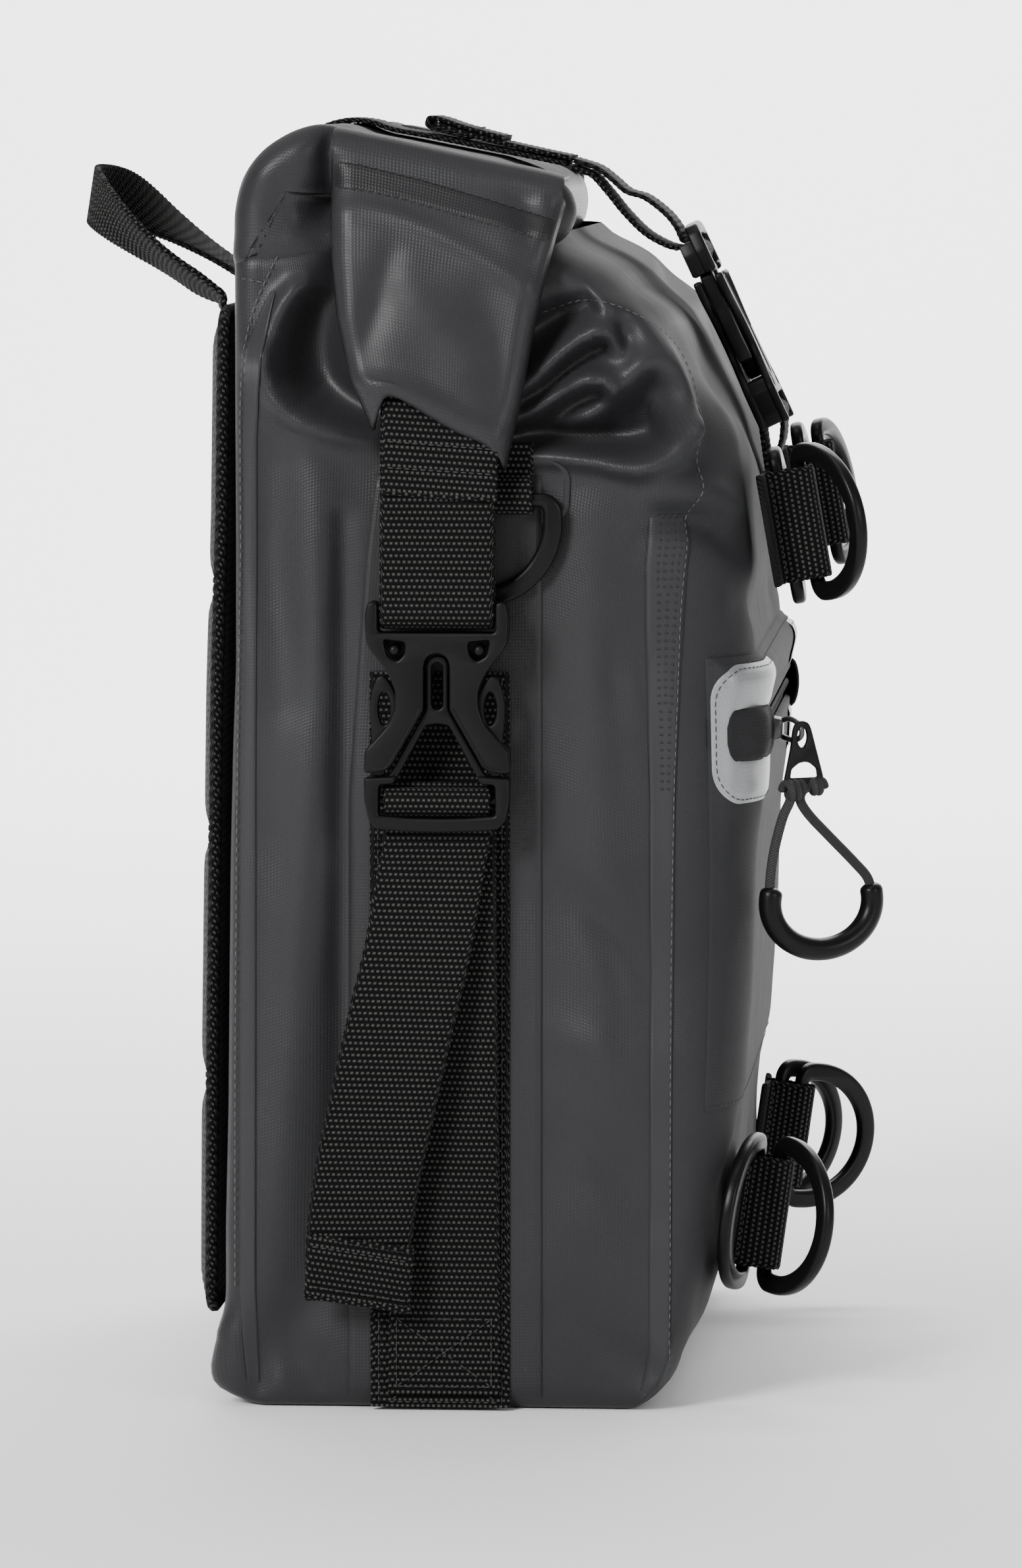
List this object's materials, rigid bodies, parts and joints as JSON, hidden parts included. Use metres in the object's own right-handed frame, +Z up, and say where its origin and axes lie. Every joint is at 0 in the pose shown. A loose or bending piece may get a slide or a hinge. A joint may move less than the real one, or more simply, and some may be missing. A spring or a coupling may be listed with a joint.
{
  "type": "roll-top pannier bag",
  "caption": "Roll-top pannier bag with a padded back, haul handle, zipped front pocket, side and front buckles and webbing D-ring lash points.",
  "frame": {"origin": "centre of the flat base", "axes": "+Z up, +X towards the bag's outer front, -X towards the padded back that lies against a rack, Y across the width"},
  "size_m": [0.2836, 0.3406, 0.434],
  "materials": {
    "tarpaulin": "coated, satin",
    "webbing": "woven, matt",
    "buckle_plastic": "moulded, satin",
    "pad_cloth": "knitted spacer mesh",
    "stiffener_board": "sheet",
    "zip_cloth": "coated coil zip and braided cord",
    "reflective_trim": "retroreflective film"
  },
  "bodies": {
    "root": {"back_board": "stiffener_board", "back_pad": "pad_cloth", "bag_shell": "tarpaulin", "base_board": "stiffener_board", "front_pocket": "tarpaulin", "front_strap_lower": "webbing", "left_anchor_strap": "webbing", "left_reflector": "reflective_trim", "left_ring_tab": "webbing", "left_webbing_panel": "webbing", "lower_left_ring_loop": "webbing", "lower_right_ring_loop": "webbing", "pad_binding": "webbing", "right_anchor_strap": "webbing", "right_reflector": "reflective_trim", "right_ring_tab": "webbing", "right_webbing_panel": "webbing", "upper_left_ring_loop": "webbing", "upper_right_ring_loop": "webbing", "zip_chain": "zip_cloth"},
    "roll": {"roll_top": "tarpaulin", "roll_stiffener": "stiffener_board", "front_strap_back": "webbing", "front_strap_tail_end": "webbing", "front_strap_front": "webbing", "front_buckle_socket": "buckle_plastic", "right_roll_end": "tarpaulin", "right_upper_strap": "webbing", "right_buckle_socket": "buckle_plastic", "left_roll_end": "tarpaulin", "left_upper_strap": "webbing", "left_buckle_socket": "buckle_plastic"},
    "right_plug": {"right_buckle_plug": "buckle_plastic", "right_strap_tail": "webbing"},
    "left_plug": {"left_buckle_plug": "buckle_plastic", "left_strap_tail": "webbing"},
    "front_plug": {"front_buckle_plug": "buckle_plastic", "front_strap_tail_front": "webbing"},
    "right_arm_a": {"right_buckle_arm_a": "buckle_plastic"},
    "right_arm_b": {"right_buckle_arm_b": "buckle_plastic"},
    "left_arm_a": {"left_buckle_arm_a": "buckle_plastic"},
    "left_arm_b": {"left_buckle_arm_b": "buckle_plastic"},
    "front_arm_a": {"front_buckle_arm_a": "buckle_plastic"},
    "front_arm_b": {"front_buckle_arm_b": "buckle_plastic"},
    "upper_right_inner_ring": {"upper_right_inner_ring": "buckle_plastic"},
    "upper_right_outer_ring": {"upper_right_outer_ring": "buckle_plastic"},
    "upper_left_inner_ring": {"upper_left_inner_ring": "buckle_plastic"},
    "upper_left_outer_ring": {"upper_left_outer_ring": "buckle_plastic"},
    "lower_right_inner_ring": {"lower_right_inner_ring": "buckle_plastic"},
    "lower_right_outer_ring": {"lower_right_outer_ring": "buckle_plastic"},
    "lower_left_inner_ring": {"lower_left_inner_ring": "buckle_plastic"},
    "lower_left_outer_ring": {"lower_left_outer_ring": "buckle_plastic"},
    "right_side_ring": {"right_side_ring": "buckle_plastic"},
    "left_side_ring": {"left_side_ring": "buckle_plastic"},
    "zip_slider": {"zip_slider": "buckle_plastic"},
    "zip_tab": {"zip_pull_tab": "buckle_plastic"},
    "zip_pull": {"zip_pull_cord": "zip_cloth", "zip_pull_grip": "buckle_plastic"},
    "haul_handle": {"haul_handle": "webbing"}
  },
  "joints": [
    {"name": "roll_lift", "type": "slide", "parent": "root", "child": "roll", "axis": [0, 0, 1], "range_m": [0, 0.08], "deforming": ["front_strap_lower"]},
    {"name": "right_buckle_release", "type": "slide", "parent": "root", "child": "right_plug", "axis": [0, 0, -1], "range_m": [0, 0.036]},
    {"name": "left_buckle_release", "type": "slide", "parent": "root", "child": "left_plug", "axis": [0, 0, -1], "range_m": [0, 0.036]},
    {"name": "front_buckle_release", "type": "slide", "parent": "roll", "child": "front_plug", "axis": [-0.4226, 0, 0.9063], "range_m": [0, 0.04], "deforming": ["front_strap_front", "front_strap_tail_front"]},
    {"name": "right_arm_a_squeeze", "type": "hinge", "parent": "right_plug", "child": "right_arm_a", "pos_m": [0.0194, -0.1648, 0.2154], "axis": [0, -1, 0], "range_deg": [0, 6], "stiffness_Nm_per_rad": 0.05},
    {"name": "right_arm_b_squeeze", "type": "hinge", "parent": "right_plug", "child": "right_arm_b", "pos_m": [-0.0194, -0.1648, 0.2154], "axis": [0, 1, 0], "range_deg": [0, 6], "stiffness_Nm_per_rad": 0.05},
    {"name": "left_arm_a_squeeze", "type": "hinge", "parent": "left_plug", "child": "left_arm_a", "pos_m": [-0.0194, 0.1648, 0.2154], "axis": [0, 1, 0], "range_deg": [0, 6], "stiffness_Nm_per_rad": 0.05},
    {"name": "left_arm_b_squeeze", "type": "hinge", "parent": "left_plug", "child": "left_arm_b", "pos_m": [0.0194, 0.1648, 0.2154], "axis": [0, -1, 0], "range_deg": [0, 6], "stiffness_Nm_per_rad": 0.05},
    {"name": "front_arm_a_squeeze", "type": "hinge", "parent": "front_plug", "child": "front_arm_a", "pos_m": [0.08246, -0.0194, 0.37931], "axis": [0.9063, 0, 0.4226], "range_deg": [0, 6], "stiffness_Nm_per_rad": 0.05},
    {"name": "front_arm_b_squeeze", "type": "hinge", "parent": "front_plug", "child": "front_arm_b", "pos_m": [0.08246, 0.0194, 0.37931], "axis": [-0.9063, 0, -0.4226], "range_deg": [0, 6], "stiffness_Nm_per_rad": 0.05},
    {"name": "upper_right_inner_ring_swing", "type": "hinge", "parent": "root", "child": "upper_right_inner_ring", "pos_m": [0.11289, -0.105, 0.29608], "axis": [-0.1736, 0, 0.9848], "range_deg": [-22, 5]},
    {"name": "upper_right_outer_ring_swing", "type": "hinge", "parent": "root", "child": "upper_right_outer_ring", "pos_m": [0.12008, -0.105, 0.29735], "axis": [-0.1736, 0, 0.9848], "range_deg": [-25, 40]},
    {"name": "lower_right_inner_ring_swing", "type": "hinge", "parent": "root", "child": "lower_right_inner_ring", "pos_m": [0.10252, -0.105, 0.06287], "axis": [0.1392, 0, 0.9903], "range_deg": [0, 12]},
    {"name": "lower_right_outer_ring_swing", "type": "hinge", "parent": "root", "child": "lower_right_outer_ring", "pos_m": [0.10975, -0.105, 0.06186], "axis": [0.1392, 0, 0.9903], "range_deg": [-22, 60]},
    {"name": "upper_left_inner_ring_swing", "type": "hinge", "parent": "root", "child": "upper_left_inner_ring", "pos_m": [0.11289, 0.105, 0.29608], "axis": [-0.1736, 0, 0.9848], "range_deg": [-5, 10]},
    {"name": "upper_left_outer_ring_swing", "type": "hinge", "parent": "root", "child": "upper_left_outer_ring", "pos_m": [0.12008, 0.105, 0.29735], "axis": [-0.1736, 0, 0.9848], "range_deg": [-60, 6]},
    {"name": "lower_left_inner_ring_swing", "type": "hinge", "parent": "root", "child": "lower_left_inner_ring", "pos_m": [0.10252, 0.105, 0.06287], "axis": [0.1392, 0, 0.9903], "range_deg": [0, 28]},
    {"name": "lower_left_outer_ring_swing", "type": "hinge", "parent": "root", "child": "lower_left_outer_ring", "pos_m": [0.10975, 0.105, 0.06186], "axis": [0.1392, 0, 0.9903], "range_deg": [-40, 3]},
    {"name": "right_side_ring_swing", "type": "hinge", "parent": "root", "child": "right_side_ring", "pos_m": [0.014, -0.1536, 0.307], "axis": [-1, 0, 0], "range_deg": [0, 6]},
    {"name": "left_side_ring_swing", "type": "hinge", "parent": "root", "child": "left_side_ring", "pos_m": [0.014, 0.1536, 0.307], "axis": [1, 0, 0], "range_deg": [0, 6]},
    {"name": "zip_slide", "type": "slide", "parent": "root", "child": "zip_slider", "axis": [0, 1, 0], "range_m": [0, 0.218]},
    {"name": "zip_tab_swing", "type": "hinge", "parent": "zip_slider", "child": "zip_tab", "pos_m": [0.12258, -0.1188, 0.226], "axis": [0.5, -0.866, 0], "range_deg": [0, 70]},
    {"name": "zip_cord_swing", "type": "hinge", "parent": "zip_tab", "child": "zip_pull", "pos_m": [0.12344, -0.1183, 0.2095], "axis": [0.5, -0.866, 0], "range_deg": [0, 45]},
    {"name": "haul_handle_swing", "type": "hinge", "parent": "root", "child": "haul_handle", "pos_m": [-0.0845, 0, 0.3695], "axis": [0, 1, 0], "range_deg": [-110, 35]}
  ],
  "couplings": [
    {"joint": "right_arm_b_squeeze", "follows": "right_arm_a_squeeze", "ratio": 1},
    {"joint": "left_arm_b_squeeze", "follows": "left_arm_a_squeeze", "ratio": 1},
    {"joint": "front_arm_b_squeeze", "follows": "front_arm_a_squeeze", "ratio": 1}
  ]
}
